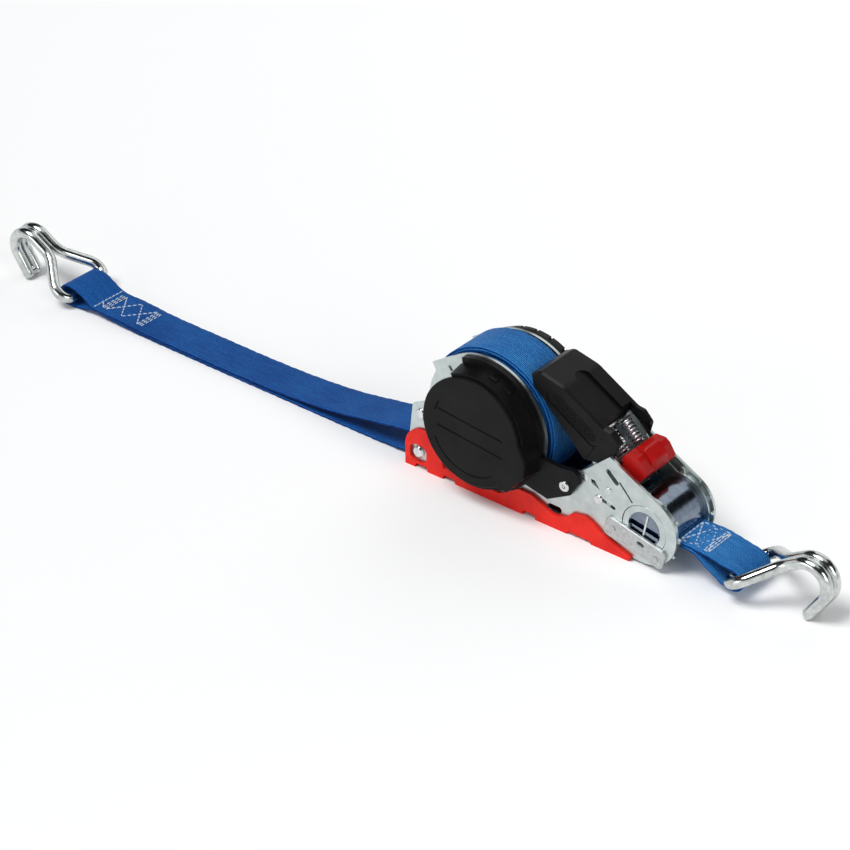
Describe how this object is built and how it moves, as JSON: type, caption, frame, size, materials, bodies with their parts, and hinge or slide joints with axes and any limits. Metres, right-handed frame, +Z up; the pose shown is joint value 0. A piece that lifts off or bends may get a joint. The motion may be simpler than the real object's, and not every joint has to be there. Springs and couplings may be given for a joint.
{
  "type": "self-retracting ratchet tie-down",
  "caption": "Ratchet tie-down with a spring-wound webbing spool, folding handle, red base tray and release lever, and a double-J hook sewn to the strap at each end.",
  "frame": {"origin": "on the ground, under the middle of the base tray's flat floor", "axes": "+X along the tie-down from the fixed hook to the adjustable hook, +Z up, -Y is the side with the spring retractor's cap"},
  "size_m": [0.5563, 0.057, 0.0849],
  "materials": {
    "zinc_plate": "bright zinc plate, slightly mottled",
    "zinc_hook": "bright zinc plate on bent round wire",
    "dark_chrome": "smooth mirror-bright steel",
    "grey_steel": "dull blasted zinc",
    "bolt_steel": "bright zinc bolt and rivet ends",
    "spring_steel": "drawn spring wire",
    "red_plastic": "moulded, semi-gloss",
    "dark_red_plastic": "moulded, semi-gloss",
    "black_plastic": "moulded, fine satin texture",
    "blue_webbing": "woven polyester webbing"
  },
  "bodies": {
    "frame": {"base_tray": "red_plastic", "side_plate_near": "zinc_plate", "side_plate_far": "zinc_plate", "end_bolt": "bolt_steel", "end_bolt_sleeve": "bolt_steel", "upper_cross_pin": "bolt_steel", "neck_bolt": "bolt_steel", "neck_spacer": "bolt_steel", "spring_seat_pin": "bolt_steel", "plate_rivets": "bolt_steel", "keeper_plate_near": "grey_steel", "keeper_plate_far": "grey_steel", "keeper_rivets": "bolt_steel", "retractor_housing": "black_plastic", "retractor_cap": "black_plastic", "foot_screw": "bolt_steel", "clock_spring": "spring_steel", "far_housing": "black_plastic", "far_screws": "bolt_steel", "webbing_run": "blue_webbing", "fixed_strap": "blue_webbing", "strap_end": "blue_webbing", "holding_pawl_springs": "spring_steel"},
    "spool": {"spool_hub": "black_plastic", "webbing_roll": "blue_webbing"},
    "mandrel": {"mandrel_half_upper": "dark_chrome", "mandrel_half_lower": "dark_chrome", "cotter_pins": "bolt_steel", "ratchet_wheel_near": "grey_steel", "ratchet_wheel_far": "grey_steel", "webbing_in_slot": "blue_webbing"},
    "handle": {"handle_plate_near": "zinc_plate", "handle_plate_far": "zinc_plate", "handle_cross_pin": "bolt_steel", "grip_pin": "bolt_steel", "handle_grip": "black_plastic", "lever_springs": "spring_steel"},
    "drive_pawl": {"drive_pawl": "grey_steel", "release_lever": "dark_red_plastic"},
    "holding_pawl": {"holding_pawl": "grey_steel"},
    "fixed_hook": {"fixed_hook": "zinc_hook"},
    "free_hook": {"free_hook": "zinc_hook"}
  },
  "joints": [
    {"name": "handle_hinge", "type": "hinge", "parent": "frame", "child": "handle", "pos_m": [0.078, 0, 0.021], "axis": [0, 1, 0], "range_deg": [0, 95]},
    {"name": "mandrel_turn", "type": "hinge", "parent": "frame", "child": "mandrel", "pos_m": [0.078, 0, 0.021], "axis": [0, 1, 0], "continuous": true},
    {"name": "spool_turn", "type": "hinge", "parent": "frame", "child": "spool", "pos_m": [-0.0205, 0, 0.0445], "axis": [0, 1, 0], "continuous": true},
    {"name": "drive_pawl_slide", "type": "slide", "parent": "handle", "child": "drive_pawl", "axis": [-0.7071, 0, 0.7071], "range_m": [-0.002, 0.005], "deforming": ["lever_springs"]},
    {"name": "holding_pawl_slide", "type": "slide", "parent": "frame", "child": "holding_pawl", "axis": [-0.9659, 0, 0.2588], "range_m": [-0.0015, 0.003], "deforming": ["holding_pawl_springs"]},
    {"name": "fixed_hook_hinge", "type": "hinge", "parent": "frame", "child": "fixed_hook", "pos_m": [-0.324, 0, 0.0068], "axis": [-0.0343, 0.9973, 0.0649], "range_deg": [-20, 80]},
    {"name": "free_hook_hinge", "type": "hinge", "parent": "frame", "child": "free_hook", "pos_m": [0.1275, 0, 0.0102], "axis": [0, -1, 0], "range_deg": [-20, 40]}
  ]
}
